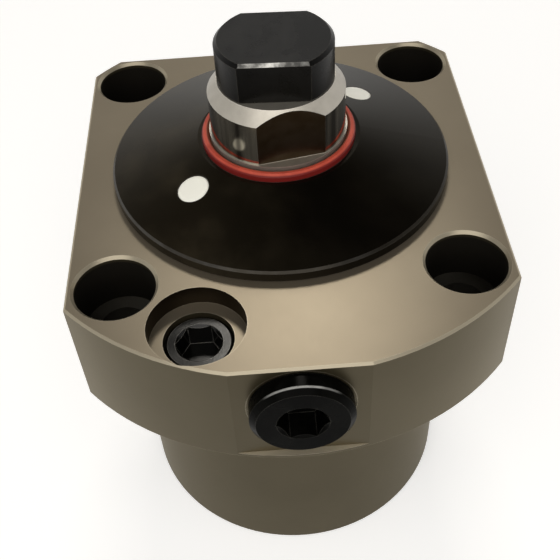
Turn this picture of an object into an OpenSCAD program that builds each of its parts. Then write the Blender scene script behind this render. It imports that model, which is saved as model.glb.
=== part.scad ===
// Flange-mounted hydraulic work support with a spring-lifted plunger that oil pressure clamps.
// Origin on the barrel's axis in the plane of the flange's seat, +Z towards the contact bolt, front port at -Y.

/* [Flange] */
// width over the two side flats
flange_w = 60; // [56:1:64]
// thickness from seat to top face
flange_t = 18.5; // [17:0.5:22]
// radius of the front outline
flange_r = 40.3; // [40.2:0.1:42]
// radius that trims the two rear corners
rear_corner_r = 39.7; // [39.5:0.1:42]
// distance from axis to the rear flat
rear_y = 30; // [29.8:0.1:32]
// distance from axis to the front port flat
front_y = 39.3; // [38:0.1:40]
// height of the lip left under the front port flat
front_lip_h = 0.8; // [0.5:0.1:1.2]
// chamfer along the flange's edges
edge_chamfer = 0.3; // [0.2:0.1:0.4]

/* [Bolt holes] */
// distance between bolt holes, both ways
bolt_pitch = 47; // [46:0.5:48]
// through hole diameter for an M6 bolt
bolt_hole_d = 6.8; // [6.4:0.1:7]
// counterbore diameter for the bolt head
bolt_head_d = 11; // [10.5:0.1:11.4]
// counterbore depth
bolt_head_depth = 8; // [6:0.5:11]
// chamfer at the counterbore's mouth
bolt_mouth_chamfer = 0.4; // [0.2:0.1:0.4]

/* [Barrel] */
// barrel diameter, the fit in the fixture
barrel_d = 55; // [54:0.5:56]
// barrel length below the seat
barrel_l = 48.7; // [47:0.1:56]
// chamfer at the barrel's lower edge
barrel_chamfer = 1; // [0.5:0.1:1.5]

/* [Plunger] */
// plunger diameter
plunger_d = 20; // [19:0.5:21]
// distance over the two wrench flats on the plunger's head
wrench_af = 17; // [16:0.5:18]
// diameter of the head above the wiper
head_d = 19.5; // [19:0.1:19.8]
// height of the steep chamfer round the contact bolt
head_chamfer_h = 2; // [1.5:0.1:2.5]
// height of the plunger's top face above the flange, retracted
plunger_top = 15.4; // [14:0.1:18]
// stroke of the lift piston and plunger
stroke = 10; // [8:0.5:10]
// how far the plunger yields against its spring
spring_travel = 2.8; // [2:0.1:2.8]

/* [Contact bolt] */
// head diameter
contact_d = 16.4; // [15:0.1:17]
// distance over its two flats
contact_af = 13.2; // [12:0.1:14]
// head height
contact_h = 5.9; // [5:0.1:8]

/* [Cap] */
// cap diameter on the flange
cap_d = 49.8; // [49:0.1:50.6]
// height of the cap's rim
cap_rim_h = 1.8; // [1.2:0.1:2.2]
// extra height of the cone at the wiper
cap_cone_h = 3.7; // [3.2:0.1:4.2]
// diameter of the holes for the pin spanner
spanner_d = 4.5; // [4:0.1:5]
// radius of the spanner holes' centres
spanner_r = 16; // [15.5:0.1:16.5]
// direction of the first spanner hole
spanner_angle = 38; // [30:1:45]

/* [Lock] */
// half angle of collet and sleeve tapers
taper = 3; // [2:0.5:4]
// diameter of the lock balls
ball_d = 3; // [2.8:0.1:3]
// balls in each of the two rows
balls_per_row = 10; // [8:1:12]
// width of the collet's slots
slot_w = 1; // [0.8:0.1:1.4]

/* [Fits] */
// radial running clearance of sliding parts
run_fit = 0.04; // [0.02:0.01:0.08]
// radial clearance of screwed and inserted parts
seat_fit = 0.05; // [0.03:0.01:0.1]
// clearance between balls and tapers
ball_fit = 0.15; // [0.12:0.01:0.2]

/* [Hidden] */
$fn = 96;
eps = 0.01;

barrel_r = barrel_d / 2;
bottom_z = -barrel_l;
plunger_r = plunger_d / 2;

// cap
cap_r = cap_d / 2;
cap_rim_z = flange_t + cap_rim_h;
cap_top_z = cap_rim_z + cap_cone_h;
cap_floor_z = flange_t - 8.6;
cap_nose_z = cap_floor_z - 1.9;
cap_oring_z = cap_floor_z + 2.7;

// wiper and rod seal in the cap
wiper_r = plunger_r + 1.2;
wiper_lip_h = 1.2;
wiper_z = cap_top_z - 3.4;
cap_flat_r = wiper_r + 0.7;
rod_seal_r = plunger_r + 3;
rod_seal_z = cap_floor_z + 3.7;
rod_seal_h = 3.6;

// main bore, collet and lock sleeve
bore_r = barrel_r - 7.5;
cap_thread_r = bore_r + 2;
collet_neck_r = plunger_r + 2;
collet_collar_h = 2.5;
collet_top_z = cap_nose_z + 4;
taper_z = -2;
sleeve_top_z = cap_nose_z - 0.6;
sleeve_step_z = 0.5;
sleeve_bottom_z = -9;
cage_top_z = -1.2;
cage_bottom_z = -8.4;
cage_in_r = collet_neck_r + 1.1;
cage_out_r = cage_in_r + 1.4;
row_z = [-3.2, -6.4];

// end cover and retaining ring
cover_r = bore_r + 1;
cover_bottom_z = bottom_z + 2.7;
cover_top_z = cover_bottom_z + 6;
ring_groove_r = cover_r + 1.2;
circlip_h = 1.2;

// lift cylinder
lift_bore_r = bore_r - 5;
lift_bottom_z = cover_top_z + 0.6;
lift_top_z = lift_bottom_z + 5.2;
plunger_bottom_z = lift_top_z + spring_travel + 0.2;
collar_r = plunger_r + 2.2;
collar_top_z = plunger_bottom_z + 1.6;
ledge_z = collar_top_z + stroke + 0.1;
spring_bore_r = plunger_r - 4;
spring_bore_top_z = 2;

// contact bolt
plunger_top_z = flange_t + plunger_top;
contact_stud_r = 4;
contact_stud_l = 14;
contact_turn = -3.5;
wrench_turn = 10;
head_z = cap_top_z + wiper_lip_h + 0.4;

// front port
port_z = flange_t - 7.6;
port_r = 4.7;
port_depth = 10;
port_head_r = 6.8;
port_head_h = 2.8;
port_socket_af = 6;

// top port in its recess
recess = [-12.6, -31.15];
recess_angle = atan2(recess[1], recess[0]);
recess_r = 6.5;
recess_z = flange_t - 3;
top_plug_z = recess_z - 0.5;
top_plug_chamfer = 0.5;
top_socket_af = 5.5;
top_port_bottom_z = 6;

// oil passages
oil_r = 1.5;
vent_r = 1.2;
vent_z = -12;
gallery_r = ring_groove_r + oil_r + 0.5;
gallery_plug_l = 4;
seat_port = [0, -33.4];
gasket_groove_r = 4;
gasket_groove_h = 1.4;

steel_grey = [0.55, 0.52, 0.46];
bright = [0.75, 0.74, 0.72];
black = [0.1, 0.1, 0.1];
rubber = [0.12, 0.12, 0.13];
red = [0.72, 0.2, 0.16];
white = [0.95, 0.95, 0.92];

function taper_r(z) = collet_neck_r + max(0, taper_z - z) * tan(taper);
function sleeve_r(z) = taper_r(z) + ball_d + 2 * ball_fit;

// cylinder from height z0 up to z1
module rod(r, z0, z1) {
    translate([0, 0, z0]) cylinder(r = r, h = z1 - z0);
}

// cylinder from z0 to z1 with a chamfer c at its upper and lower edge
module chamfered(r, z0, z1, c_low, c_high) {
    rotate_extrude()
        polygon([[0, z0], [r - c_low, z0], [r, z0 + c_low], [r, z1 - c_high], [r - c_high, z1], [0, z1]]);
}

// round ring of circular section
module oring(mean_r, section_r, z) {
    translate([0, 0, z]) rotate_extrude() translate([mean_r, 0]) circle(r = section_r, $fn = 32);
}

// coil of half rings, each tilted so that its ends meet the next one's
module coil(mean_r, wire_r, z0, z1, halves) {
    rise = (z1 - z0 - 2 * wire_r) / halves;
    tilt = asin(rise / 2 / mean_r);
    for (i = [0 : halves - 1])
        translate([0, 0, z0 + wire_r + (i + 0.5) * rise])
            rotate([0, 0, 180 * i])
                rotate([0, -tilt, 0]) half_ring(mean_r, wire_r);
}

module half_ring(mean_r, wire_r) {
    rotate_extrude(angle = 180) translate([mean_r, 0]) circle(r = wire_r, $fn = 24);
}

// hexagonal socket cut downwards from z, across flats af
module socket_cut(af, z, depth) {
    rod_hex(af, z - depth, z + eps);
    translate([0, 0, z - 0.4]) cylinder(r1 = af / 2, r2 = af / 2 + 0.4 + eps, h = 0.4 + eps);
}

module rod_hex(af, z0, z1) {
    translate([0, 0, z0]) cylinder(r = af / 2 / cos(30), h = z1 - z0, $fn = 6);
}

// the four bolt positions
module at_bolts() {
    for (x = [-1, 1], y = [-1, 1])
        translate([x * bolt_pitch / 2, y * bolt_pitch / 2, 0]) children();
}

// the half of the flange in front of the axis, or behind it
module flange_half(r, y0) {
    intersection() {
        chamfered(r, 0, flange_t, edge_chamfer, edge_chamfer);
        translate([-60, y0, -1]) cube([120, 60, flange_t + 2]);
    }
}

module flange_body() {
    c = edge_chamfer;
    w = flange_w / 2;
    y0 = flange_r + 1;
    intersection() {
        union() {
            flange_half(flange_r, -60);
            flange_half(rear_corner_r, 0);
        }
        translate([0, 60, 0]) rotate([90, 0, 0]) linear_extrude(120)
            polygon([[-w + c, 0], [w - c, 0], [w, c], [w, flange_t - c], [w - c, flange_t],
                [-w + c, flange_t], [-w, flange_t - c], [-w, c]]);
        translate([-60, 0, 0]) rotate([90, 0, 90]) linear_extrude(120)
            polygon([[-y0, 0], [rear_y - c, 0], [rear_y, c], [rear_y, flange_t - c], [rear_y - c, flange_t],
                [-front_y + c, flange_t], [-front_y, flange_t - c], [-front_y, front_lip_h],
                [-y0, front_lip_h]]);
    }
}

module bolt_cut() {
    rod(bolt_hole_d / 2, -1, flange_t + 1);
    rod(bolt_head_d / 2, flange_t - bolt_head_depth, flange_t + 1);
    translate([0, 0, flange_t - bolt_mouth_chamfer])
        cylinder(r1 = bolt_head_d / 2, r2 = bolt_head_d / 2 + bolt_mouth_chamfer + eps,
            h = bolt_mouth_chamfer + eps);
}

// bores along the axis, from the cap thread down to the end cover
module axial_bores() {
    rotate_extrude() polygon([
        [0, flange_t + 1], [cap_thread_r, flange_t + 1], [cap_thread_r, cap_floor_z], [bore_r, cap_floor_z],
        [bore_r, ledge_z], [lift_bore_r, ledge_z], [lift_bore_r, cover_top_z], [cover_r, cover_top_z],
        [cover_r, cover_bottom_z + eps], [ring_groove_r, cover_bottom_z + eps],
        [ring_groove_r, cover_bottom_z - circlip_h - seat_fit], [cover_r, cover_bottom_z - circlip_h - seat_fit],
        [cover_r, bottom_z + 0.6], [cover_r + 0.7, bottom_z - 0.1], [0, bottom_z - 0.1]]);
}

// passage drilled up the barrel wall from below and joined to a port by a hole at z_high
module gallery(angle, r, z_high, port_at) {
    rotate([0, 0, angle]) {
        translate([gallery_r, 0, bottom_z - 1]) cylinder(r = r, h = z_high + r - bottom_z + 1, $fn = 32);
        radial_hole(r - 0.15, z_high, gallery_r, port_at);
    }
}

module radial_hole(r, z, from_r, to_r) {
    translate([from_r, 0, z]) rotate([0, 90, 0]) cylinder(r = r, h = to_r - from_r, $fn = 32);
}

module front_port_cut() {
    translate([0, -front_y - 1, port_z]) rotate([-90, 0, 0]) cylinder(r = port_r, h = port_depth + 1);
    translate([0, -front_y - 1, port_z]) rotate([-90, 0, 0]) cylinder(r = port_head_r + 0.3, h = 1.2);
}

// oil inlet in the seat, drilled at a slant into the pressure gallery
module seat_port_cut() {
    run = norm(seat_port) - gallery_r;
    rise = port_z - 3;
    translate([seat_port[0], seat_port[1], 0]) rotate([-atan2(run, rise), 0, 0])
        cylinder(r = oil_r - 0.2, h = norm([run, rise]), $fn = 32);
}

module gasket_groove(at) {
    translate([at[0], at[1], -1]) cylinder(r = gasket_groove_r, h = gasket_groove_h + 1, $fn = 48);
}

module recess_cut() {
    translate([recess[0], recess[1], 0]) {
        rod(recess_r, recess_z, flange_t + 1);
        rod(port_r, top_port_bottom_z, flange_t);
        rod(oil_r, -1, top_port_bottom_z + 1);
    }
}

module housing() {
    color(steel_grey) difference() {
        union() {
            flange_body();
            rotate_extrude() polygon([
                [0, bottom_z], [barrel_r - barrel_chamfer, bottom_z], [barrel_r, bottom_z + barrel_chamfer],
                [barrel_r, flange_t / 2], [0, flange_t / 2]]);
        }
        axial_bores();
        at_bolts() bolt_cut();
        front_port_cut();
        seat_port_cut();
        gasket_groove(seat_port);
        gasket_groove(recess);
        recess_cut();
        gallery(-90, oil_r, port_z, front_y - port_depth + 1);
        rotate([0, 0, -90]) radial_hole(0.8, cap_nose_z - 0.4, bore_r - 1, gallery_r);
        rotate([0, 0, -90]) radial_hole(1, lift_bottom_z + 0.8, lift_bore_r - 1, gallery_r);
        gallery(recess_angle, vent_r, top_port_bottom_z + vent_r, norm(recess));
        rotate([0, 0, recess_angle]) radial_hole(1, vent_z, bore_r - 1, gallery_r);
    }
}

module cap() {
    color(black) difference() {
        rotate_extrude() polygon([
            [0, cap_nose_z], [bore_r - seat_fit, cap_nose_z], [bore_r - seat_fit, cap_floor_z + 0.1],
            [cap_thread_r - seat_fit - 0.4, cap_floor_z + 0.1], [cap_thread_r - seat_fit, cap_floor_z + 0.5],
            [cap_thread_r - seat_fit, flange_t], [cap_r - 0.2, flange_t], [cap_r, flange_t + 0.2],
            [cap_r, cap_rim_z - 0.3], [cap_r - 0.3, cap_rim_z], [cap_flat_r, cap_top_z], [0, cap_top_z]]);
        rotate_extrude() polygon([
            [0, cap_nose_z - 1], [collet_neck_r + seat_fit, cap_nose_z - 1],
            [collet_neck_r + seat_fit, collet_top_z], [plunger_r + 0.1, collet_top_z],
            [plunger_r + 0.1, rod_seal_z], [rod_seal_r, rod_seal_z], [rod_seal_r, rod_seal_z + rod_seal_h],
            [plunger_r + 0.1, rod_seal_z + rod_seal_h], [plunger_r + 0.1, wiper_z],
            [wiper_r + seat_fit, wiper_z], [wiper_r + seat_fit, cap_top_z + 1], [0, cap_top_z + 1]]);
        rotate_extrude() translate([cap_thread_r - 1.75, cap_oring_z - 1.1]) square([3, 2.2]);
        spanner_holes(spanner_d / 2, cap_rim_z - 4.5, cap_top_z + 1);
    }
}

module spanner_holes(r, z0, z1) {
    for (a = [spanner_angle, spanner_angle + 180])
        translate([spanner_r * cos(a), spanner_r * sin(a), 0]) rod(r, z0, z1);
}

// plugs flush with the cap's cone
module cap_hole_plugs() {
    color(white) intersection() {
        spanner_holes(spanner_d / 2 - 0.02, cap_rim_z - 4, cap_top_z + 1);
        rotate_extrude() polygon([
            [0, cap_rim_z - 5], [cap_r, cap_rim_z - 5], [cap_r - 0.3, cap_rim_z + 0.02],
            [cap_flat_r, cap_top_z + 0.02], [0, cap_top_z + 0.02]]);
    }
}

module cap_oring() {
    color(rubber) oring(cap_thread_r - 0.9, 0.85, cap_oring_z);
}

module wiper_ring() {
    in_r = plunger_r + run_fit + 0.01;
    color(red) rotate_extrude() polygon([
        [in_r + 0.3, wiper_z], [wiper_r, wiper_z], [wiper_r, cap_top_z + wiper_lip_h - 0.5],
        [wiper_r - 0.35, cap_top_z + wiper_lip_h], [in_r + 0.35, cap_top_z + wiper_lip_h],
        [in_r, cap_top_z + wiper_lip_h - 0.4], [in_r, cap_top_z + wiper_lip_h - 0.9],
        [in_r + 0.3, cap_top_z + wiper_lip_h - 1.3]]);
}

module rod_seal() {
    in_r = plunger_r + run_fit;
    out_r = rod_seal_r - run_fit;
    mid_r = (in_r + out_r) / 2;
    z0 = rod_seal_z + 0.2;
    z1 = rod_seal_z + rod_seal_h - 0.2;
    color(rubber) rotate_extrude() polygon([
        [in_r, z0], [in_r + 0.5, z0], [mid_r, z0 + 1.6], [out_r - 0.5, z0], [out_r, z0],
        [out_r, z1], [in_r + 0.2, z1], [in_r + 0.2, z0 + 1.4], [in_r, z0 + 1]]);
}

module plunger() {
    color(bright) difference() {
        union() {
            rod(plunger_r, plunger_bottom_z, head_z);
            rod(collar_r, plunger_bottom_z, collar_top_z);
            intersection() {
                rotate_extrude() polygon([
                    [0, head_z - 1], [head_d / 2, head_z - 1], [head_d / 2, plunger_top_z - head_chamfer_h],
                    [contact_d / 2 + 0.1, plunger_top_z], [0, plunger_top_z]]);
                rotate([0, 0, wrench_turn]) translate([-head_d, -wrench_af / 2, head_z - 2])
                    cube([2 * head_d, wrench_af, plunger_top + 2]);
            }
        }
        rod(spring_bore_r, plunger_bottom_z - 1, spring_bore_top_z);
        rod(contact_stud_r + seat_fit, plunger_top_z - contact_stud_l - 0.5, plunger_top_z + 1);
        rod(contact_stud_r + 0.7, plunger_top_z - 2.6, plunger_top_z + 1);
    }
}

module contact_bolt() {
    r = contact_d / 2;
    top_z = plunger_top_z + contact_h;
    color(black) difference() {
        union() {
            intersection() {
                chamfered(r, plunger_top_z, top_z, 0.2, 0.5);
                rotate([0, 0, contact_turn]) translate([-20, 0, 0]) rotate([90, 0, 90]) linear_extrude(40)
                    polygon([
                        [-contact_af / 2, plunger_top_z - 1], [contact_af / 2, plunger_top_z - 1],
                        [contact_af / 2, top_z - 0.4], [contact_af / 2 - 0.4, top_z],
                        [-contact_af / 2 + 0.4, top_z], [-contact_af / 2, top_z - 0.4]]);
            }
            chamfered(contact_stud_r, plunger_top_z - contact_stud_l, plunger_top_z + 1, 0.6, 0);
        }
        rotate_extrude() translate([contact_stud_r - 0.6, plunger_top_z - 2.2]) square([2, 1.6]);
    }
}

module contact_oring() {
    color(rubber) oring(contact_stud_r - 0.02, 0.55, plunger_top_z - 1.4);
}

module lift_spring() {
    color(bright) coil(spring_bore_r - 1.2, 0.7, lift_top_z, spring_bore_top_z, 20);
}

// piston with the rod that guides the lift spring
module lift_piston() {
    color(bright) difference() {
        union() {
            chamfered(lift_bore_r - run_fit, lift_bottom_z, lift_top_z, 0.4, 0.4);
            chamfered(spring_bore_r - 2.3, lift_top_z - 1, ledge_z + 5.5, 0, 0.6);
            rod(spring_bore_r, cover_top_z + 0.02, lift_bottom_z + 1);
        }
        rotate_extrude() translate([lift_bore_r - 1.75, lift_bottom_z + 1.5]) square([3, 2]);
    }
}

module lift_piston_seal() {
    color(rubber) oring(lift_bore_r - 0.9, 0.8, lift_bottom_z + 2.5);
}

module return_spring() {
    color(bright) coil(lift_bore_r - 1.4, 0.45, lift_top_z, ledge_z, 8);
}

module collet() {
    collar_z = ledge_z + collet_collar_h;
    color(bright) difference() {
        rotate_extrude() polygon([
            [plunger_r + run_fit, ledge_z], [bore_r - 0.1, ledge_z], [bore_r - 0.1, collar_z],
            [taper_r(collar_z + 1), collar_z], [taper_r(collar_z + 1), collar_z + 1],
            [taper_r(taper_z), taper_z], [collet_neck_r, collet_top_z], [plunger_r + run_fit, collet_top_z]]);
        for (i = [0 : 5])
            rotate([0, 0, 60 * i + 30]) translate([plunger_r - 1, -slot_w / 2, collar_z + 1])
                cube([6, slot_w, taper_z - collar_z - 1.5]);
        rotate_extrude() translate([collet_neck_r - 0.9, collet_top_z - 2.6]) square([2, 1.2]);
    }
}

module collet_oring() {
    color(rubber) oring(collet_neck_r - 0.44, 0.43, collet_top_z - 2);
}

// annular lock piston whose lower end is the taper that closes the collet
module lock_sleeve() {
    out_r = bore_r - run_fit;
    in_r = collet_neck_r + run_fit;
    color(bright) difference() {
        rotate_extrude() polygon([
            [in_r, sleeve_step_z], [in_r, sleeve_top_z], [out_r - 0.4, sleeve_top_z],
            [out_r, sleeve_top_z - 0.4], [out_r, sleeve_bottom_z], [sleeve_r(sleeve_bottom_z), sleeve_bottom_z],
            [sleeve_r(taper_z), taper_z], [sleeve_r(taper_z), sleeve_step_z]]);
        rotate_extrude() translate([bore_r - 1.95, sleeve_top_z - 4.4]) square([3, 2.3]);
        rotate_extrude() translate([collet_neck_r - 1, sleeve_top_z - 4.4]) square([2.8, 2.1]);
    }
}

module lock_outer_seal() {
    color(rubber) oring(bore_r - 1, 0.9, sleeve_top_z - 3.25);
}

module lock_inner_seal() {
    color(rubber) oring(collet_neck_r + 0.94, 0.82, sleeve_top_z - 3.35);
}

module at_balls() {
    for (row = [0, 1], i = [0 : balls_per_row - 1])
        rotate([0, 0, 360 * (i + row / 2) / balls_per_row])
            translate([taper_r(row_z[row]) + ball_fit + ball_d / 2, 0, row_z[row]]) children();
}

module ball_cage() {
    color([0.75, 0.6, 0.3]) difference() {
        rod(cage_out_r, cage_bottom_z, cage_top_z);
        rod(cage_in_r, cage_bottom_z - 1, cage_top_z + 1);
        for (row = [0, 1], i = [0 : balls_per_row - 1])
            rotate([0, 0, 360 * (i + row / 2) / balls_per_row])
                translate([cage_in_r - 1, 0, row_z[row]]) rotate([0, 90, 0])
                    cylinder(r = ball_d / 2 + seat_fit, h = 4, $fn = 32);
    }
}

module lock_balls() {
    color(bright) at_balls() sphere(d = ball_d, $fn = 24);
}

module release_spring() {
    color(bright) coil(bore_r - 2.3, 0.8, ledge_z + collet_collar_h, sleeve_bottom_z, 5);
}

module end_cover() {
    r = cover_r - seat_fit;
    color(steel_grey) difference() {
        chamfered(r, cover_bottom_z, cover_top_z, 0.4, 0.4);
        rotate_extrude() translate([cover_r - 1.9, cover_bottom_z + 2.1]) square([3, 2.2]);
        rod(cover_r - 7, cover_bottom_z - 1, cover_bottom_z + 1.5);
    }
}

module end_cover_oring() {
    color(rubber) oring(cover_r - 0.97, 0.88, cover_bottom_z + 3.2);
}

// internal retaining ring with its gap and two eyes
module retaining_ring() {
    z1 = cover_bottom_z;
    z0 = z1 - circlip_h;
    eye_y = 3.8 - ring_groove_r;
    color(bright) difference() {
        union() {
            difference() {
                rod(ring_groove_r - seat_fit, z0, z1);
                translate([0, 0.9, 0]) rod(ring_groove_r - 2.7, z0 - 1, z1 + 1);
            }
            for (s = [-1, 1])
                translate([s * 3.6, eye_y, 0]) rod(2, z0, z1);
        }
        translate([-1.6, -barrel_r, z0 - 1]) cube([3.2, 14, circlip_h + 2]);
        for (s = [-1, 1])
            translate([s * 3.6, eye_y, 0]) rod(0.9, z0 - 1, z1 + 1);
    }
}

// plug built upright at the origin, then turned to face the front
module on_front_flat(y) {
    translate([0, -y, port_z]) rotate([90, 0, 0]) children();
}

module front_port_plug() {
    color(black) on_front_flat(front_y - 0.2) difference() {
        union() {
            chamfered(port_head_r, 0, port_head_h + 0.2, 0.2, 0.8);
            chamfered(port_r - seat_fit, -7.5, 1, 0.6, 0);
        }
        rotate_extrude() translate([port_r - 0.6, -0.9]) square([0.9, 0.9]);
        rotate_extrude() translate([port_r - eps, -1]) square([1.2, 1.8]);
        socket_cut(port_socket_af, port_head_h + 0.2, 3.8);
    }
}

module front_port_seal() {
    color(rubber) on_front_flat(front_y - 0.2) rotate_extrude()
        translate([port_r + 0.1, 0]) square([1, 0.7]);
}

// headless plug screwed in until it lies just below the recess
module top_port_plug() {
    color(black) translate([recess[0], recess[1], 0]) difference() {
        chamfered(port_r - seat_fit, top_port_bottom_z + 2 * vent_r, top_plug_z, 0.3, top_plug_chamfer);
        rotate_extrude() translate([port_r - 1.2, top_port_bottom_z + 2 * vent_r + 1]) square([2, 1.4]);
        socket_cut(top_socket_af, top_plug_z, 3.5);
    }
}

module top_port_oring() {
    color(rubber) translate([recess[0], recess[1], 0])
        oring(port_r - 0.6, 0.55, top_port_bottom_z + 2 * vent_r + 1.7);
}

// pins that close the lower ends of the two galleries
module gallery_plugs() {
    color(bright) {
        rotate([0, 0, -90]) translate([gallery_r, 0, 0])
            chamfered(oil_r, bottom_z + 0.5, bottom_z + 0.5 + gallery_plug_l, 0.2, 0.2, $fn = 32);
        rotate([0, 0, recess_angle]) translate([gallery_r, 0, 0])
            chamfered(vent_r, bottom_z + 0.5, bottom_z + 0.5 + gallery_plug_l, 0.2, 0.2, $fn = 32);
    }
}

module gasket_rings() {
    for (at = [seat_port, recess])
        color(rubber) translate([at[0], at[1], 0]) oring(gasket_groove_r - 1, 0.9, gasket_groove_h - 0.9);
}

housing();
cap();
cap_hole_plugs();
cap_oring();
wiper_ring();
rod_seal();
plunger();
contact_bolt();
contact_oring();
lift_spring();
lift_piston();
lift_piston_seal();
return_spring();
collet();
collet_oring();
lock_sleeve();
lock_outer_seal();
lock_inner_seal();
ball_cage();
lock_balls();
release_spring();
end_cover();
end_cover_oring();
retaining_ring();
front_port_plug();
front_port_seal();
top_port_plug();
top_port_oring();
gallery_plugs();
gasket_rings();
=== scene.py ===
import math
import bpy
from mathutils import Matrix, Vector


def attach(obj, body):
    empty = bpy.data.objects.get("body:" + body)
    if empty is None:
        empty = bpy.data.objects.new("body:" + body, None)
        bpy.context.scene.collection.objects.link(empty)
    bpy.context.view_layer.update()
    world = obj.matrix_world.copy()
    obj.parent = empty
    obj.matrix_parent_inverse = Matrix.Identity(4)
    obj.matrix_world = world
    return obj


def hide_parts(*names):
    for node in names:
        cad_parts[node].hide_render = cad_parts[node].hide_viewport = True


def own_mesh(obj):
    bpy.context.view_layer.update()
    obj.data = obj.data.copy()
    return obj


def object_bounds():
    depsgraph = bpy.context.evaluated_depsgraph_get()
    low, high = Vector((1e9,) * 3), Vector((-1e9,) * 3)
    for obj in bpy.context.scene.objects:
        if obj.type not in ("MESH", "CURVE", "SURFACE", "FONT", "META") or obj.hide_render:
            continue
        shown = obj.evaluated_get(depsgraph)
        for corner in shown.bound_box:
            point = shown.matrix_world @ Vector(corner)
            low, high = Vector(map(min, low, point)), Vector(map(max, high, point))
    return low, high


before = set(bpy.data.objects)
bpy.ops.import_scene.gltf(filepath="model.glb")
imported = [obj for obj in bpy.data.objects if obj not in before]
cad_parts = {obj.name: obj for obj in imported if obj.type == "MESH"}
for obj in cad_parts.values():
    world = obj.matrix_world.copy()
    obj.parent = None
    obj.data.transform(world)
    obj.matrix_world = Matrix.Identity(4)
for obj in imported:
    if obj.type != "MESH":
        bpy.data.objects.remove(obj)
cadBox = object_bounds()
print("frame loaded", len(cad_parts), "nodes")

scene = bpy.context.scene
mm = 0.001


# small helpers for node trees
def addNode(tree, kind, **values):
    node = tree.nodes.new(kind)
    for key, value in values.items():
        setattr(node, key, value)
    return node


def wire(tree, source, target):
    tree.links.new(source, target)


# a number, vector or colour is set on the socket, and a socket is wired to it
def feed(tree, value, socket):
    if isinstance(value, tuple):
        missing = len(socket.default_value) - len(value)
        socket.default_value = value + (1.0,) * missing
    elif isinstance(value, (int, float)):
        socket.default_value = value
    else:
        wire(tree, value, socket)


def mathNode(tree, operation, a, b=None, clamp=False):
    node = addNode(tree, "ShaderNodeMath", operation=operation, use_clamp=clamp)
    feed(tree, a, node.inputs[0])
    if b is not None:
        feed(tree, b, node.inputs[1])
    return node.outputs[0]


def plus(tree, a, b, clamp=False):
    return mathNode(tree, "ADD", a, b, clamp)


def minus(tree, a, b):
    return mathNode(tree, "SUBTRACT", a, b)


def times(tree, a, b):
    return mathNode(tree, "MULTIPLY", a, b)


def above(tree, a, b):
    return mathNode(tree, "GREATER_THAN", a, b)


def below(tree, a, b):
    return mathNode(tree, "LESS_THAN", a, b)


def unsigned(tree, a):
    return mathNode(tree, "ABSOLUTE", a)


def hypotenuse(tree, a, b):
    return mathNode(tree, "SQRT", plus(tree, times(tree, a, a), times(tree, b, b)))


def mixColour(tree, factor, a, b):
    node = addNode(tree, "ShaderNodeMix", data_type="RGBA")
    for index, value in ((0, factor), (6, a), (7, b)):
        feed(tree, value, node.inputs[index])
    return node.outputs[2]


def ramp(tree, value, low, high, lowOut=0.0, highOut=1.0):
    node = addNode(tree, "ShaderNodeMapRange", clamp=True, interpolation_type="SMOOTHSTEP")
    for index, item in enumerate((value, low, high, lowOut, highOut)):
        feed(tree, item, node.inputs[index])
    return node.outputs[0]


def vectorMath(tree, operation, a, b=None):
    node = addNode(tree, "ShaderNodeVectorMath", operation=operation)
    feed(tree, a, node.inputs[0])
    if b is not None:
        feed(tree, b, node.inputs[1])
    return node.outputs


def splitXyz(tree, vector):
    node = addNode(tree, "ShaderNodeSeparateXYZ")
    wire(tree, vector, node.inputs[0])
    return node.outputs


def joinXyz(tree, x, y, z):
    node = addNode(tree, "ShaderNodeCombineXYZ")
    for socket, value in zip(node.inputs, (x, y, z)):
        feed(tree, value, socket)
    return node.outputs[0]


def fromAxis(tree, vector):
    flat = vectorMath(tree, "MULTIPLY", vector, (1.0, 1.0, 0.0))[0]
    return vectorMath(tree, "LENGTH", flat)["Value"]


def trueNormal(tree):
    return addNode(tree, "ShaderNodeNewGeometry").outputs["True Normal"]


def noiseNode(tree, vector, size, detail, distortion=0.0):
    node = addNode(tree, "ShaderNodeTexNoise")
    for label, value in (("Vector", vector), ("Scale", size), ("Detail", detail), ("Distortion", distortion)):
        feed(tree, value, node.inputs[label])
    return node.outputs[0]


def newGroup(name, inputs, outputs):
    tree = bpy.data.node_groups.new(name, "ShaderNodeTree")
    for label, kind, value in inputs:
        socket = tree.interface.new_socket(label, in_out="INPUT", socket_type=kind)
        if value is not None:
            socket.default_value = value
    for label in outputs:
        tree.interface.new_socket(label, in_out="OUTPUT", socket_type="NodeSocketFloat")
    return tree, addNode(tree, "NodeGroupInput").outputs, addNode(tree, "NodeGroupOutput").inputs


# blotches and finger marks on a satin surface: one mask from two scales of noise
smudgeLook = {
    "largeDetail": 4.0, "distortion": 0.6, "largeShare": 0.7,
    "finer": 5.5, "smallDetail": 5.0, "smallShare": 0.3, "maskFrom": 0.4, "maskTo": 0.62,
}


def makeSmudgeGroup():
    look = smudgeLook
    tree, given, out = newGroup("smudges", [
        ("Vector", "NodeSocketVector", None), ("Size", "NodeSocketFloat", 90.0),
        ("Amount", "NodeSocketFloat", 0.5)], ["Mask"])
    large = noiseNode(tree, given["Vector"], given["Size"], look["largeDetail"], look["distortion"])
    small = noiseNode(tree, given["Vector"], times(tree, given["Size"], look["finer"]), look["smallDetail"])
    both = plus(tree, times(tree, large, look["largeShare"]), times(tree, small, look["smallShare"]))
    wire(tree, times(tree, ramp(tree, both, look["maskFrom"], look["maskTo"]), given["Amount"]), out["Mask"])
    return tree


# fine grinding or polishing lines: a stretched noise, as a mask and as a height
lineLook = {"detail": 3.0, "maskFrom": 0.35, "maskTo": 0.65}


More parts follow.
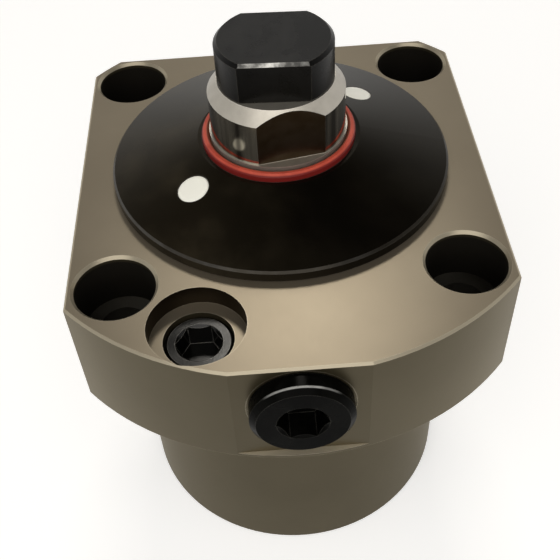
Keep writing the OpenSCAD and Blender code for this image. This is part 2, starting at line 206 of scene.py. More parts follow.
def makeLineGroup():
    look = lineLook
    tree, given, out = newGroup("toolLines", [
        ("Vector", "NodeSocketVector", None), ("Stretch", "NodeSocketVector", (1.0, 1.0, 1.0)),
        ("Size", "NodeSocketFloat", 3000.0)], ["Mask", "Height"])
    scaled = vectorMath(tree, "MULTIPLY", given["Vector"], given["Stretch"])[0]
    noise = noiseNode(tree, scaled, given["Size"], look["detail"])
    wire(tree, ramp(tree, noise, look["maskFrom"], look["maskTo"]), out["Mask"])
    wire(tree, noise, out["Height"])
    return tree


# where an outer edge is near: the rounded normal leaves the face's own normal there
edgeLook = {
    "samples": 6, "radius": 0.22 * mm, "nearFrom": 0.015, "nearTo": 0.12,
    "patchSize": 420.0, "patchDetail": 2.0, "patchFrom": 0.3, "patchTo": 0.55, "patchLeast": 0.35,
}


def makeEdgeGroup():
    look = edgeLook
    tree, given, out = newGroup("edgeWear", [
        ("Vector", "NodeSocketVector", None), ("Amount", "NodeSocketFloat", 0.6)], ["Mask"])
    rounded = addNode(tree, "ShaderNodeBevel", samples=look["samples"])
    rounded.inputs["Radius"].default_value = look["radius"]
    own = addNode(tree, "ShaderNodeNewGeometry").outputs["Normal"]
    dot = vectorMath(tree, "DOT_PRODUCT", rounded.outputs[0], own)["Value"]
    near = ramp(tree, minus(tree, 1.0, dot), look["nearFrom"], look["nearTo"])
    patchy = noiseNode(tree, given["Vector"], look["patchSize"], look["patchDetail"])
    broken = ramp(tree, patchy, look["patchFrom"], look["patchTo"], look["patchLeast"], 1.0)
    wire(tree, times(tree, times(tree, near, broken), given["Amount"]), out["Mask"])
    return tree


smudges = makeSmudgeGroup()
toolLines = makeLineGroup()
edgeWear = makeEdgeGroup()


def placeGroup(tree, group, vector, **values):
    node = addNode(tree, "ShaderNodeGroup", node_tree=group)
    wire(tree, vector, node.inputs["Vector"])
    for key, value in values.items():
        feed(tree, value, node.inputs[key])
    return node.outputs


def newMaterial(name):
    material = bpy.data.materials.new(name)
    material.use_nodes = True
    tree = material.node_tree
    shader = tree.nodes["Principled BSDF"].inputs
    where = addNode(tree, "ShaderNodeTexCoord").outputs["Object"]
    return material, tree, shader, where


bevelLook = {"normalZ": 0.7071, "within": 0.06}


# 1 where a face leans 45 degrees upwards, as the small bevels along edges do
def onBevel(tree, normalZ):
    return below(tree, unsigned(tree, minus(tree, normalZ, bevelLook["normalZ"])), bevelLook["within"])


def bumpFrom(tree, shader, height, look):
    bump = addNode(tree, "ShaderNodeBump")
    bump.inputs["Strength"].default_value = look["bump"]
    bump.inputs["Distance"].default_value = look["bumpDepth"]
    wire(tree, height, bump.inputs["Height"])
    wire(tree, bump.outputs[0], shader["Normal"])


# roughness with a share of the rubbed mask added to it
def roughFrom(tree, shader, rub, share, base):
    wire(tree, plus(tree, times(tree, rub, share), base), shader["Roughness"])


# housing: satin nickelled steel, with painted light on its tops, painted shade on its sides and painted shade
# in the counterbores
housingLook = {
    # top and side tones: tops painted lighter and sides darker as painted light and shade, each with a
    # lighter wiped tone
    "top": (0.192, 0.163, 0.120), "topLight": (0.228, 0.196, 0.146),
    "side": (0.050, 0.041, 0.023), "sideLight": (0.066, 0.055, 0.033),
    "stain": 0.90, "stainSize": 26.0, "stainAmount": 0.3, "wipeSize": 14.0, "wipeAmount": 0.8,
    "worn": (0.42, 0.38, 0.30), "wornAmount": 0.7,
    # painted highlight tones for the top bevels and the ledge under the front plug
    "bevel": (0.36, 0.32, 0.24), "bevelAmount": 0.75, "bevelBand": 1.2 * mm,
    "ledgeHighlight": (0.60, 0.54, 0.42), "ledgeBelow": 6.0 * mm, "level": 0.9,
    "recess": (-12.6 * mm, -31.15 * mm), "recessR": 6.6 * mm, "recessFloor": 15.5 * mm,
    # painted shade tone for the recess wall
    "recessWallShade": (0.010, 0.006, 0.003), "recessClear": 0.02 * mm, "upright": 0.5,
    "boltPitch": 47 * mm, "counterboreR": 5.55 * mm, "flangeTop": 18.5 * mm, "mouth": 0.5 * mm, "fade": 2.2,
    # painted shade inside the bores and painted light on their floors
    "boreShade": (0.005, 0.004, 0.003), "litBoreFloor": (0.085, 0.080, 0.068),
    "upFrom": 0.3, "upTo": 0.9, "barrelTop": -0.2 * mm, "sheen": (1.0, 0.92, 0.76), "metallic": 0.6,
    "roughness": 0.335, "roughStain": 0.01, "roughGrind": 0.008, "roughBarrel": 0.14, "roughBore": 0.4,
    "grindStretch": (1.0, 0.25, 1.0), "grindSize": 2600.0, "grindHeight": 0.08,
    "turnStretch": (0.02, 0.02, 1.0), "turnSize": 5200.0, "bump": 0.05, "bumpDepth": 0.03 * mm,
}


def makeHousingSteel():
    look = housingLook
    material, tree, shader, where = newMaterial("satin nickel steel")
    x, y, z = splitXyz(tree, where)
    normalZ = splitXyz(tree, trueNormal(tree))[2]
    litFacingUp = ramp(tree, normalZ, look["upFrom"], look["upTo"])
    stains = placeGroup(tree, smudges, where, Size=look["stainSize"], Amount=look["stainAmount"])[0]
    wipe = placeGroup(tree, smudges, where, Size=look["wipeSize"], Amount=look["wipeAmount"])[0]
    grind = placeGroup(tree, toolLines, where, Stretch=look["grindStretch"], Size=look["grindSize"])
    turned = placeGroup(tree, toolLines, where, Stretch=look["turnStretch"], Size=look["turnSize"])
    top = mixColour(tree, wipe, look["top"], look["topLight"])
    side = mixColour(tree, wipe, look["side"], look["sideLight"])
    # upward faces take the top tone and upright faces the side tone: painted light and shade
    tone = mixColour(tree, litFacingUp, side, top)
    darker = vectorMath(tree, "MULTIPLY", tone, (look["stain"],) * 3)[0]
    tone = mixColour(tree, stains, tone, darker)
    # inside the four counterbores and through holes the bore gets painted shade, with painted light on its
    # upward faces
    halfPitch = look["boltPitch"] / 2
    fromHole = hypotenuse(tree, minus(tree, unsigned(tree, x), halfPitch),
                          minus(tree, unsigned(tree, y), halfPitch))
    mouth = look["flangeTop"] - look["mouth"]
    inside = ramp(tree, z, look["flangeTop"] - look["fade"] * look["mouth"], mouth, 1.0, 0.0)
    boreShadeMask = times(tree, below(tree, fromHole, look["counterboreR"]), inside)
    # painted highlights on the bevels along the flange's top and on the ledge under the front plug
    bevelHighlight = times(tree, onBevel(tree, normalZ), above(tree, z, look["flangeTop"] - look["bevelBand"]))
    tone = mixColour(tree, times(tree, bevelHighlight, look["bevelAmount"]), tone, look["bevel"])
    ledgeHighlight = times(tree, above(tree, normalZ, look["level"]), below(tree, z, look["ledgeBelow"]))
    tone = mixColour(tree, ledgeHighlight, tone, look["ledgeHighlight"])
    worn = placeGroup(tree, edgeWear, where, Amount=look["wornAmount"])[0]
    tone = mixColour(tree, worn, tone, look["worn"])
    # the recess wall, between its floor and the flange's top, gets painted shade
    fromRecess = hypotenuse(tree, minus(tree, x, look["recess"][0]), minus(tree, y, look["recess"][1]))
    onShadedWall = times(tree, below(tree, fromRecess, look["recessR"]),
                   below(tree, unsigned(tree, normalZ), look["upright"]))
    middle = (look["flangeTop"] + look["recessFloor"]) / 2
    reach = middle - look["recessFloor"] - look["recessClear"]
    onShadedWall = times(tree, onShadedWall, below(tree, unsigned(tree, minus(tree, z, middle)), reach))
    tone = mixColour(tree, onShadedWall, tone, look["recessWallShade"])
    # painted light on the bore floors within the painted bore shade
    bore = mixColour(tree, times(tree, litFacingUp, wipe), look["boreShade"], look["litBoreFloor"])
    wire(tree, mixColour(tree, boreShadeMask, tone, bore), shader["Base Color"])
    shader["Metallic"].default_value = look["metallic"]
    shader["Specular Tint"].default_value = (*look["sheen"], 1)
    # the barrel is turned, the flange is ground
    onBarrel = below(tree, z, look["barrelTop"])
    rough = plus(tree, times(tree, stains, look["roughStain"]), look["roughness"])
    for mask, share in ((grind["Mask"], "roughGrind"), (onBarrel, "roughBarrel"), (boreShadeMask, "roughBore")):
        rough = plus(tree, rough, times(tree, mask, look[share]))
    wire(tree, rough, shader["Roughness"])
    height = plus(tree, times(tree, turned["Height"], onBarrel),
                  times(tree, grind["Height"], look["grindHeight"]))
    bumpFrom(tree, shader, height, look)
    return material


# black cap with faint smudges and a film of dust, laid on heavier towards the -x side as a painted sheen
capLook = {
    "black": (0.0014, 0.0011, 0.0008), "dust": (0.026, 0.021, 0.013), "dustFrom": 6 * mm, "dustTo": -14 * mm,
    "dustLeast": 0.12, "dustEven": 0.35,
    "filmSize": 35.0, "filmAmount": 0.6, "rubSize": 160.0, "rubAmount": 0.5,
    "worn": (0.10, 0.09, 0.08), "wornAmount": 0.6,
    # painted highlight tone along the rim bevel
    "rimHighlightLine": (0.055, 0.053, 0.05), "rimFrom": 2 * mm, "rimTo": 14 * mm, "rimLeast": 0.1,
    "roughness": 0.14, "roughFilm": 0.12, "roughRub": 0.06, "specular": 0.14, "sheen": (1.0, 0.86, 0.62),
    "lineSize": 3500.0, "bump": 0.08, "bumpDepth": 0.03 * mm,
}


def makeCapBlack():
    look = capLook
    material, tree, shader, where = newMaterial("black finished cap")
    x = splitXyz(tree, where)[0]
    film = placeGroup(tree, smudges, where, Size=look["filmSize"], Amount=look["filmAmount"])[0]
    rub = placeGroup(tree, smudges, where, Size=look["rubSize"], Amount=look["rubAmount"])[0]
    # the dust tone grows towards -x: real dust film plus a painted sheen on that side
    paintedSheenSide = ramp(tree, x, look["dustTo"], look["dustFrom"], 1.0, look["dustLeast"])
    dustAndSheen = times(tree, plus(tree, film, look["dustEven"]), paintedSheenSide)
    tone = mixColour(tree, dustAndSheen, look["black"], look["dust"])
    worn = placeGroup(tree, edgeWear, where, Amount=look["wornAmount"])[0]
    tone = mixColour(tree, worn, tone, look["worn"])
    # painted highlight along the cap's rim bevel, fading towards +x
    rimHighlightLine = times(tree, onBevel(tree, splitXyz(tree, trueNormal(tree))[2]), minus(tree, 1.0, rub))
    rimHighlightLine = times(tree, rimHighlightLine, ramp(tree, x, look["rimFrom"], look["rimTo"], 1.0, look["rimLeast"]))
    wire(tree, mixColour(tree, rimHighlightLine, tone, look["rimHighlightLine"]), shader["Base Color"])
    shader["Specular IOR Level"].default_value = look["specular"]
    shader["Specular Tint"].default_value = (*look["sheen"], 1)
    rough = plus(tree, times(tree, film, look["roughFilm"]), look["roughness"])
    roughFrom(tree, shader, rub, look["roughRub"], rough)
    bumpFrom(tree, shader, placeGroup(tree, toolLines, where, Size=look["lineSize"])["Height"], look)
    return material


# plunger: satin turned chamfer and shoulder, burnished head, wrench flats painted near-black as painted shade
# for a dark reflection
plungerLook = {
    "satin": (0.44, 0.412, 0.363), "satinDull": (0.32, 0.30, 0.26),
    "head": (0.54, 0.50, 0.42), "streak": (0.10, 0.09, 0.076),
    # the flat tones are painted shade standing in for a dark reflection
    "flat": (0.050, 0.033, 0.018), "flatDull": (0.080, 0.060, 0.042),
    "worn": (0.74, 0.71, 0.65), "wornAmount": 0.55, "rubSize": 120.0, "rubAmount": 0.6,
    "headBottom": 25.65 * mm, "upright": 0.2, "flatTurn": 10, "square": 0.9995,
    "roughSatin": 0.38, "roughHead": 0.11, "roughFlat": 0.40, "roughRub": 0.05,
    "metalSatin": 0.75, "metalHead": 1.0, "anisotropic": 0.6,
    "lineStretch": (1.0, 1.0, 0.05), "lineSize": 4200.0,
    "streakStretch": (1.0, 1.0, 0.03), "streakSize": 420.0,
    "bump": 0.08, "bumpDepth": 0.03 * mm,
}


def makePlungerSteel():
    look = plungerLook
    material, tree, shader, where = newMaterial("ground plunger steel")
    normal = trueNormal(tree)
    upright = below(tree, unsigned(tree, splitXyz(tree, normal)[2]), look["upright"])
    onHead = times(tree, upright, above(tree, splitXyz(tree, where)[2], look["headBottom"]))
    turn = math.radians(look["flatTurn"])
    across = vectorMath(tree, "DOT_PRODUCT", normal, (math.sin(turn), -math.cos(turn), 0.0))["Value"]
    onFlat = times(tree, onHead, above(tree, unsigned(tree, across), look["square"]))
    rub = placeGroup(tree, smudges, where, Size=look["rubSize"], Amount=look["rubAmount"])[0]
    lines = placeGroup(tree, toolLines, where, Stretch=look["lineStretch"], Size=look["lineSize"])
    streaks = placeGroup(tree, toolLines, where, Stretch=look["streakStretch"], Size=look["streakSize"])
    satin = mixColour(tree, rub, look["satin"], look["satinDull"])
    head = mixColour(tree, streaks["Mask"], look["head"], look["streak"])
    flat = mixColour(tree, rub, look["flat"], look["flatDull"])
    # the wrench flats take the near-black flat tone: painted shade
    tone = mixColour(tree, onFlat, mixColour(tree, onHead, satin, head), flat)
    worn = placeGroup(tree, edgeWear, where, Amount=look["wornAmount"])[0]
    wire(tree, mixColour(tree, worn, tone, look["worn"]), shader["Base Color"])
    metal = times(tree, onHead, look["metalHead"] - look["metalSatin"])
    wire(tree, plus(tree, metal, look["metalSatin"]), shader["Metallic"])
    rough = plus(tree, times(tree, onHead, look["roughHead"] - look["roughSatin"]), look["roughSatin"])
    rough = plus(tree, rough, times(tree, onFlat, look["roughFlat"] - look["roughHead"]))
    roughFrom(tree, shader, rub, look["roughRub"], rough)
    # turning marks run round the axis, so highlights spread along it
    along = addNode(tree, "ShaderNodeTangent", direction_type="RADIAL", axis="Z")
    wire(tree, along.outputs[0], shader["Tangent"])
    shader["Anisotropic"].default_value = look["anisotropic"]
    bumpFrom(tree, shader, lines["Height"], look)
    return material


# red wiper: painted shade on the inner lip and at the outer edge where it meets the cap, clean crown
wiperLook = {
    # painted shade tones for the inner lip and the outer edge
    "lip": (0.20, 0.055, 0.030), "lipTo": 10.35 * mm, "crown": (0.56, 0.085, 0.050),
    "crownDull": (0.40, 0.055, 0.034), "crownFrom": 10.6 * mm, "edge": (0.16, 0.012, 0.010),
    "edgeFrom": 10.98 * mm, "edgeTo": 11.12 * mm, "rubSize": 220.0, "rubAmount": 0.7,
    "roughness": 0.38, "roughRub": 0.15, "specular": 0.16,
    "lineSize": 2600.0, "bump": 0.12, "bumpDepth": 0.03 * mm,
}


def makeWiperRed():
    look = wiperLook
    material, tree, shader, where = newMaterial("red polyurethane wiper")
    radius = fromAxis(tree, where)
    rub = placeGroup(tree, smudges, where, Size=look["rubSize"], Amount=look["rubAmount"])[0]
    crown = mixColour(tree, rub, look["crown"], look["crownDull"])
    # painted shade on the inner lip
    tone = mixColour(tree, ramp(tree, radius, look["lipTo"], look["crownFrom"]), look["lip"], crown)
    # painted shade at the outer edge where the wiper meets the cap
    tone = mixColour(tree, ramp(tree, radius, look["edgeFrom"], look["edgeTo"]), tone, look["edge"])
    wire(tree, tone, shader["Base Color"])
    shader["Specular IOR Level"].default_value = look["specular"]
    roughFrom(tree, shader, rub, look["roughRub"], look["roughness"])
    bumpFrom(tree, shader, placeGroup(tree, toolLines, where, Size=look["lineSize"])["Height"], look)
    return material


# plain finishes: a base and a second tone that smudges bring in, fine lines, and for some
# worn edges, a bevel rubbed bright by the spanner with a painted highlight on it ("rubbed") or a painted
# highlight on the upper rim ("rim")
plainDefaults = {
    "metallic": 0.0, "specular": 0.5, "roughRub": 0.12, "stretch": (1.0, 1.0, 1.0),
    "lineSize": 3600.0, "bumpDepth": 0.04 * mm,
}
plainLooks = {
    "black oxide bolt": {
        "base": (0.0008, 0.0007, 0.0006), "second": (0.004, 0.0036, 0.0032), "size": 110.0, "amount": 0.6,
        "worn": (0.14, 0.13, 0.11), "wear": 0.5,
        # spanner wear plus a painted highlight on the bevels, fading towards +x
        "rubbed": (0.85, 0.84, 0.80), "rubbedSize": 260.0, "rubbedAmount": 0.9, "rubbedFrom": 1.6 * mm,
        "rubbedTo": 4.6 * mm, "rubbedLeast": 0.1, "sideways": 0.6,
        "specular": 0.14, "roughness": 0.26, "bump": 0.18},
    # its bright worn edges are edge wear and partly a painted highlight
    "black oxide plug": {
        "base": (0.0018, 0.0018, 0.0015), "second": (0.006, 0.006, 0.005), "size": 150.0, "amount": 0.6,
        "worn": (0.26, 0.25, 0.23), "wear": 0.8, "specular": 0.26, "roughness": 0.15, "bump": 0.15},
    "oiled black port plug": {
        "base": (0.0010, 0.0010, 0.0008), "second": (0.004, 0.004, 0.0034), "size": 170.0, "amount": 0.6,
        # rim: a painted highlight tone for the upper rim of the head
        "worn": (0.07, 0.068, 0.06), "wear": 0.6, "rim": (0.34, 0.34, 0.33), "rimY": -41.3 * mm,
        "rimCore": 0.08 * mm, "rimWidth": 0.16 * mm, "rimFrom": 15.4 * mm, "rimTo": 17.0 * mm,
        "specular": 0.02, "roughness": 0.22, "roughRub": 0.1, "lineSize": 3200.0, "bump": 0.15,
        "bumpDepth": 0.03 * mm},
    "white plastic": {
        "base": (0.99, 0.99, 0.91), "second": (0.95, 0.95, 0.86), "size": 250.0, "amount": 0.25,
        "roughness": 0.45, "bump": 0.08},
    "ground steel": {
        "base": (0.42, 0.42, 0.43), "second": (0.30, 0.30, 0.31), "size": 90.0, "amount": 0.5,
        "metallic": 0.9, "roughness": 0.30, "stretch": (0.1, 0.1, 1.0), "bump": 0.15},
    "spring wire": {
        "base": (0.20, 0.20, 0.22), "second": (0.12, 0.12, 0.13), "size": 200.0, "amount": 0.6,
        "metallic": 0.9, "roughness": 0.34, "bump": 0.12},
    "bearing bronze": {
        "base": (0.45, 0.27, 0.10), "second": (0.30, 0.17, 0.07), "size": 120.0, "amount": 0.5,
        "metallic": 0.9, "roughness": 0.34, "stretch": (0.1, 0.1, 1.0), "bump": 0.12},
    "black rubber": {
        "base": (0.016, 0.016, 0.017), "second": (0.035, 0.035, 0.036), "size": 260.0, "amount": 0.5,
        "roughness": 0.55, "bump": 0.20},
}


# the small bevels above a pair of wrench flats: spanner wear and a painted highlight
def wornAndLitBevel(tree, where, look):
    normal = splitXyz(tree, trueNormal(tree))
    sideways = above(tree, unsigned(tree, normal[1]), look["sideways"])
    aboveFlat = times(tree, onBevel(tree, normal[2]), sideways)
    rub = placeGroup(tree, smudges, where, Size=look["rubbedSize"], Amount=look["rubbedAmount"])[0]
    x = splitXyz(tree, where)[0]
    # the painted highlight fades towards +x
    fade = ramp(tree, x, look["rubbedFrom"], look["rubbedTo"], 1.0, look["rubbedLeast"])
    return times(tree, aboveFlat, times(tree, minus(tree, 1.0, rub), fade))


# painted highlight on the upper part of the edge round a plug's head
def paintedRimHighlight(tree, where, look, rub):
    place = splitXyz(tree, where)
    fromRim = unsigned(tree, minus(tree, place[1], look["rimY"]))
    nearRim = ramp(tree, fromRim, look["rimCore"], look["rimWidth"], 1.0, 0.0)
    upper = ramp(tree, place[2], look["rimFrom"], look["rimTo"])
    return times(tree, nearRim, times(tree, upper, minus(tree, 1.0, rub)))


def makePlainFinish(name):
    look = {**plainDefaults, **plainLooks[name]}
    material, tree, shader, where = newMaterial(name)
    rub = placeGroup(tree, smudges, where, Size=look["size"], Amount=look["amount"])[0]
    lines = placeGroup(tree, toolLines, where, Stretch=look["stretch"], Size=look["lineSize"])
    tone = mixColour(tree, rub, look["base"], look["second"])
    if "worn" in look:
        worn = placeGroup(tree, edgeWear, where, Amount=look["wear"])[0]
        tone = mixColour(tree, worn, tone, look["worn"])
    if "rubbed" in look:
        tone = mixColour(tree, wornAndLitBevel(tree, where, look), tone, look["rubbed"])
    if "rim" in look:
        tone = mixColour(tree, paintedRimHighlight(tree, where, look, rub), tone, look["rim"])
    wire(tree, tone, shader["Base Color"])
    shader["Metallic"].default_value = look["metallic"]
    shader["Specular IOR Level"].default_value = look["specular"]
    roughFrom(tree, shader, rub, look["roughRub"], look["roughness"])
    bumpFrom(tree, shader, lines["Height"], look)
    return material


plain = {name: makePlainFinish(name) for name in plainLooks}
finishOf = {
    "housing": makeHousingSteel(), "cap": makeCapBlack(), "plunger": makePlungerSteel(),
    "wiper_ring": makeWiperRed(), "front_port_plug": plain["oiled black port plug"],
    "top_port_plug": plain["black oxide plug"], "contact_bolt": plain["black oxide bolt"],
    "cap_hole_plugs": plain["white plastic"], "ball_cage": plain["bearing bronze"],
}


def finishFor(name):
    if name in finishOf:
        return finishOf[name]
    if "spring" in name or name == "retaining_ring":
        return plain["spring wire"]
    if "oring" in name or "seal" in name or name == "gasket_rings":
        return plain["black rubber"]
    return plain["ground steel"]


for name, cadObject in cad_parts.items():
    for materialSlot in cadObject.material_slots:
        materialSlot.material = finishFor(name)
print("finishes set")


# pieces made with geometry nodes
def newPieceTree(name, inputs):
    tree = bpy.data.node_groups.new(name, "GeometryNodeTree")
    tree.is_modifier = True
    for label, kind in (*inputs, ("Finish", "NodeSocketMaterial")):
        tree.interface.new_socket(label, in_out="INPUT", socket_type=kind)
    tree.interface.new_socket("Geometry", in_out="OUTPUT", socket_type="NodeSocketGeometry")
    return tree, addNode(tree, "NodeGroupInput").outputs, addNode(tree, "NodeGroupOutput").inputs


def closePieceTree(tree, given, out, geometry):
    smooth = addNode(tree, "GeometryNodeSetShadeSmooth")
    wire(tree, geometry, smooth.inputs["Geometry"])
    real = addNode(tree, "GeometryNodeRealizeInstances")
    wire(tree, smooth.outputs[0], real.inputs[0])
    finish = addNode(tree, "GeometryNodeSetMaterial")
    wire(tree, real.outputs[0], finish.inputs["Geometry"])
    wire(tree, given["Finish"], finish.inputs["Material"])
    wire(tree, finish.outputs[0], out[0])


# runs a tree with its named values and keeps the result as a plain mesh
def bakePiece(name, tree, values):
    carrier = bpy.data.objects.new(name + "Carrier", bpy.data.meshes.new(name + "Carrier"))
    scene.collection.objects.link(carrier)
    modifier = carrier.modifiers.new("nodes", "NODES")
    modifier.node_group = tree
    for item in tree.interface.items_tree:
        if item.in_out == "INPUT":
            modifier[item.identifier] = values[item.name]
    bpy.context.view_layer.update()
    paintedSheenSide = carrier.evaluated_get(bpy.context.evaluated_depsgraph_get())
    mesh = bpy.data.meshes.new_from_object(paintedSheenSide)
    carrier.modifiers.remove(modifier)
    bpy.data.objects.remove(carrier)
    mesh.name = name
    piece = bpy.data.objects.new(name, mesh)
    scene.collection.objects.link(piece)
    return piece


# springs: each stands on one piece and is pressed by another; each is made as a fixed coil that rides with
# one body
coilLook = {"steps": 40, "sides": 14}
springLooks = {
    "liftSpring": {"node": "lift_spring", "body": "lift", "joint": "plunger_slide", "travel": 2.8 * mm,
                   "Mean Radius": 4.8 * mm, "Wire Radius": 0.7 * mm, "Bottom": -34.2 * mm,
                   "Top": 2.0 * mm, "Turns": 10.0, "Closing": 0.55, "fixedEnd": "Bottom"},
    "returnSpring": {"node": "return_spring", "body": "body", "joint": "lift_slide", "travel": 10.0 * mm,
                     "Mean Radius": 13.6 * mm, "Wire Radius": 0.45 * mm, "Bottom": -34.2 * mm,
                     "Top": -19.5 * mm, "Turns": 4.0, "Closing": 0.6, "fixedEnd": "Top"},
    "releaseSpring": {"node": "release_spring", "body": "body", "joint": "lock_slide", "travel": 1.5 * mm,
                      "Mean Radius": 17.7 * mm, "Wire Radius": 0.8 * mm, "Bottom": -17.0 * mm,
                      "Top": -9.0 * mm, "Turns": 2.5, "Closing": 0.4, "fixedEnd": "Bottom"},
}


# a wire wound round the axis, its pitch closing towards both ends
def makeCoilTree():
    tree, given, out = newPieceTree("coil spring", [
        (label, "NodeSocketFloat")
        for label in ("Mean Radius", "Wire Radius", "Bottom", "Top", "Turns", "Closing")])
    path = addNode(tree, "GeometryNodeCurveSpiral")
    for label, value in (("Resolution", coilLook["steps"]), ("Height", 0.0), ("Rotations", given["Turns"]),
                         ("Start Radius", given["Mean Radius"]), ("End Radius", given["Mean Radius"])):
        feed(tree, value, path.inputs[label])
    along = addNode(tree, "GeometryNodeSplineParameter").outputs["Factor"]
    wave = mathNode(tree, "SINE", times(tree, along, 2 * math.pi))
    slower = times(tree, times(tree, wave, given["Closing"]), 0.5 / math.pi)
    share = minus(tree, along, slower)
    low = plus(tree, given["Bottom"], given["Wire Radius"])
    high = minus(tree, given["Top"], given["Wire Radius"])
    z = plus(tree, low, times(tree, share, minus(tree, high, low)))
    flat = splitXyz(tree, addNode(tree, "GeometryNodeInputPosition").outputs[0])
    moved = addNode(tree, "GeometryNodeSetPosition")
    wire(tree, path.outputs["Curve"], moved.inputs["Geometry"])
    wire(tree, joinXyz(tree, flat[0], flat[1], z), moved.inputs["Position"])
    section = addNode(tree, "GeometryNodeCurvePrimitiveCircle")
    section.inputs["Resolution"].default_value = coilLook["sides"]
    wire(tree, given["Wire Radius"], section.inputs["Radius"])
    tube = addNode(tree, "GeometryNodeCurveToMesh")
    wire(tree, moved.outputs[0], tube.inputs["Curve"])
    wire(tree, section.outputs["Curve"], tube.inputs["Profile Curve"])
    tube.inputs["Fill Caps"].default_value = True
    closePieceTree(tree, given, out, tube.outputs[0])
    return tree


def makeSpring(name, tree, finish):
    look = springLooks[name]
    piece = bakePiece(name, tree, {**look, "Finish": finish})
    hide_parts(look["node"])
    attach(piece, look["body"])
    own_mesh(piece)


# crowned plugs with a rounded edge in the cap's pin holes, each cut to the slope of the cone
plugLook = {
    "Count": 2, "Pitch Radius": 16 * mm, "First Angle": math.radians(38), "Radius": 2.23 * mm,
    "Bottom": 16.3 * mm, "Cone Radius": 11.9 * mm, "Cone Top": 24.02 * mm, "Slope": 0.2913,
    "Crown": 0.10 * mm, "Edge": 0.14 * mm,
}
plugMesh = {"Vertices": 72, "Side Segments": 1, "Fill Segments": 16}
edgeRoll = 14.0  # a higher power keeps the roll nearer to the edge


def makePlugTree():
    tree, given, out = newPieceTree("pin hole plugs", [("Count", "NodeSocketInt")] + [
        (label, "NodeSocketFloat") for label in plugLook if label != "Count"])
    middle = times(tree, plus(tree, given["Bottom"], given["Cone Top"]), 0.5)
    order = mathNode(tree, "DIVIDE", addNode(tree, "GeometryNodeInputIndex").outputs[0], given["Count"])
    angle = plus(tree, times(tree, order, 2 * math.pi), given["First Angle"])
    x, y = (times(tree, mathNode(tree, turn, angle), given["Pitch Radius"]) for turn in ("COSINE", "SINE"))
    points = addNode(tree, "GeometryNodePoints")
    wire(tree, given["Count"], points.inputs["Count"])
    wire(tree, joinXyz(tree, x, y, middle), points.inputs["Position"])
    disc = addNode(tree, "GeometryNodeMeshCylinder")
    for label, value in plugMesh.items():
        disc.inputs[label].default_value = value
    wire(tree, given["Radius"], disc.inputs["Radius"])
    wire(tree, minus(tree, given["Cone Top"], given["Bottom"]), disc.inputs["Depth"])
    # how far out each point of the disc lies, 0 in the middle and 1 at the edge
    outward = fromAxis(tree, addNode(tree, "GeometryNodeInputPosition").outputs[0])
    kept = addNode(tree, "GeometryNodeStoreNamedAttribute", data_type="FLOAT", domain="POINT")
    kept.inputs["Name"].default_value = "outward"
    wire(tree, disc.outputs["Mesh"], kept.inputs["Geometry"])
    wire(tree, mathNode(tree, "DIVIDE", outward, given["Radius"]), kept.inputs["Value"])
    spread = addNode(tree, "GeometryNodeInstanceOnPoints")
    wire(tree, points.outputs[0], spread.inputs["Points"])
    wire(tree, kept.outputs[0], spread.inputs["Instance"])
    real = addNode(tree, "GeometryNodeRealizeInstances")
    wire(tree, spread.outputs[0], real.inputs[0])
    # the upper face follows the cone, rises to its crown and rolls over at the edge
    position = addNode(tree, "GeometryNodeInputPosition").outputs[0]
    place = splitXyz(tree, position)
    drop = times(tree, minus(tree, fromAxis(tree, position), given["Cone Radius"]), given["Slope"])
    stored = addNode(tree, "GeometryNodeInputNamedAttribute", data_type="FLOAT")
    stored.inputs["Name"].default_value = "outward"
    share = stored.outputs["Attribute"]
    crown = times(tree, minus(tree, 1.0, times(tree, share, share)), given["Crown"])
    roll = times(tree, mathNode(tree, "POWER", share, edgeRoll), given["Edge"])
    z = minus(tree, plus(tree, given["Cone Top"], crown), plus(tree, drop, roll))
    shaped = addNode(tree, "GeometryNodeSetPosition")
    wire(tree, real.outputs[0], shaped.inputs["Geometry"])
    wire(tree, above(tree, place[2], middle), shaped.inputs["Selection"])
    wire(tree, joinXyz(tree, place[0], place[1], z), shaped.inputs["Position"])
    closePieceTree(tree, given, out, shaped.outputs[0])
    return tree


def makeHolePlugs(finish):
    piece = bakePiece("pinHolePlugs", makePlugTree(), {**plugLook, "Finish": finish})
    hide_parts("cap_hole_plugs")
    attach(piece, "body")


coilTree = makeCoilTree()
for name in springLooks:
    makeSpring(name, coilTree, plain["spring wire"])
makeHolePlugs(plain["white plastic"])
print("springs and plugs made")


# floor and surroundings: pale round the horizon and darker overhead, with no lit ceiling
stageLook = {
    "floorSize": 1.6, "floorTone": 0.86, "floorRoughness": 0.9, "floorGlow": 0.44,
    "air": (1.0, 0.985, 0.955), "horizon": 1.0, "ceiling": 0.03, "fadeFrom": 0.30, "fadeTo": 0.84,
    "diffuseShare": 0.6,
}


def raySeen(tree):
    light = addNode(tree, "ShaderNodeLightPath").outputs
    seen = plus(tree, light["Is Camera Ray"], light["Is Glossy Ray"], clamp=True)
    return plus(tree, seen, light["Is Transmission Ray"], clamp=True)


def makeFloor():
    look = stageLook
    half = look["floorSize"] / 2
    z = cadBox[0][2]
    mesh = bpy.data.meshes.new("floor")
    corners = [(-half, -half, z), (half, -half, z), (half, half, z), (-half, half, z)]
    mesh.from_pydata(corners, [], [(0, 1, 2, 3)])
    floor = bpy.data.objects.new("floor", mesh)
    scene.collection.objects.link(floor)
    material = bpy.data.materials.new("pale floor")
    material.use_nodes = True
    tree = material.node_tree
    shader = tree.nodes["Principled BSDF"].inputs
    shader["Base Color"].default_value = (*(look["floorTone"],) * 3, 1)
    shader["Roughness"].default_value = look["floorRoughness"]
    shader["Emission Color"].default_value = (1, 1, 1, 1)
    wire(tree, times(tree, raySeen(tree), look["floorGlow"]), shader["Emission Strength"])
    mesh.materials.append(material)


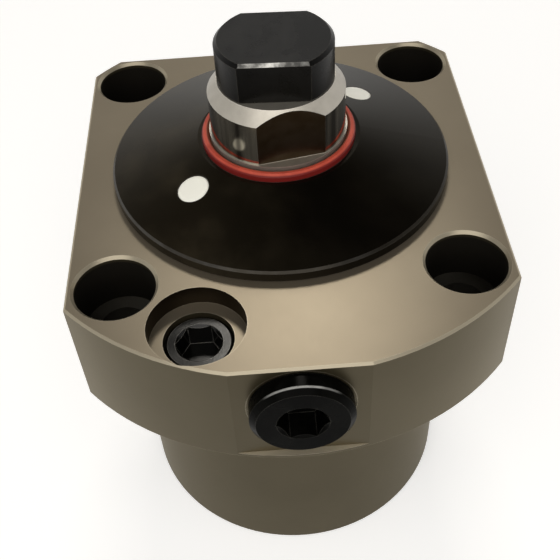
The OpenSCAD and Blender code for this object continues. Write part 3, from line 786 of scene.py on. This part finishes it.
def makeWorld():
    look = stageLook
    world = bpy.data.worlds.new("studio")
    scene.world = world
    world.use_nodes = True
    tree = world.node_tree
    background = tree.nodes["Background"].inputs
    background["Color"].default_value = (*look["air"], 1)
    direction = splitXyz(tree, addNode(tree, "ShaderNodeTexCoord").outputs["Generated"])
    level = ramp(tree, direction[2], look["fadeFrom"], look["fadeTo"], look["horizon"], look["ceiling"])
    share = look["diffuseShare"]
    seen = plus(tree, times(tree, raySeen(tree), 1.0 - share), share)
    wire(tree, times(tree, level, seen), background["Strength"])


# lamps: azimuth from the back towards the right, elevation, distance, sides and radiance
lampLooks = {
    "backStrip": {"azimuth": 3, "elevation": 54, "distance": 0.6, "width": 0.14, "height": 0.12,
                  "radiance": 13.2, "colour": (1.0, 0.95, 0.86)},
    "frontKey": {"azimuth": 188, "elevation": 46, "distance": 0.65, "width": 0.7, "height": 0.7,
                 "radiance": 2.0, "colour": (1.0, 0.97, 0.92)},
}


def makeLamp(name):
    look = lampLooks[name]
    data = bpy.data.lights.new(name, "AREA")
    data.shape = "RECTANGLE"
    data.size = look["width"]
    data.size_y = look["height"]
    data.energy = look["radiance"] * math.pi * look["width"] * look["height"]
    data.color = look["colour"]
    lamp = bpy.data.objects.new(name, data)
    scene.collection.objects.link(lamp)
    around, up = math.radians(look["azimuth"]), math.radians(look["elevation"])
    direction = Vector((math.sin(around) * math.cos(up), math.cos(around) * math.cos(up), math.sin(up)))
    lamp.location = direction * look["distance"]
    lamp.rotation_euler = (-direction).to_track_quat("-Z", "Y").to_euler()


# camera at the photo's angle
cameraLook = {
    "place": (-0.002724, -0.103723, 0.104026), "lens": 56.784, "sensor": 36, "clipStart": 2 * mm,
    "right": (0.997233, -0.060955, -0.042556), "down": (-0.073630, -0.730870, -0.678534),
    "ahead": (0.010257, 0.679790, -0.733335),
}


def makeCamera():
    look = cameraLook
    data = bpy.data.cameras.new("camera")
    data.sensor_fit = "HORIZONTAL"
    data.sensor_width = look["sensor"]
    data.lens = look["lens"]
    data.clip_start = look["clipStart"]
    camera = bpy.data.objects.new("camera", data)
    scene.collection.objects.link(camera)
    right, down, ahead = (Vector(look[key]) for key in ("right", "down", "ahead"))
    turn = Matrix((right, -down, -ahead)).transposed()
    camera.matrix_world = Matrix.Translation(look["place"]) @ turn.to_4x4()
    scene.camera = camera


makeFloor()
makeWorld()
for name in lampLooks:
    makeLamp(name)
makeCamera()
scene.view_settings.view_transform = "Standard"
print("stage set")
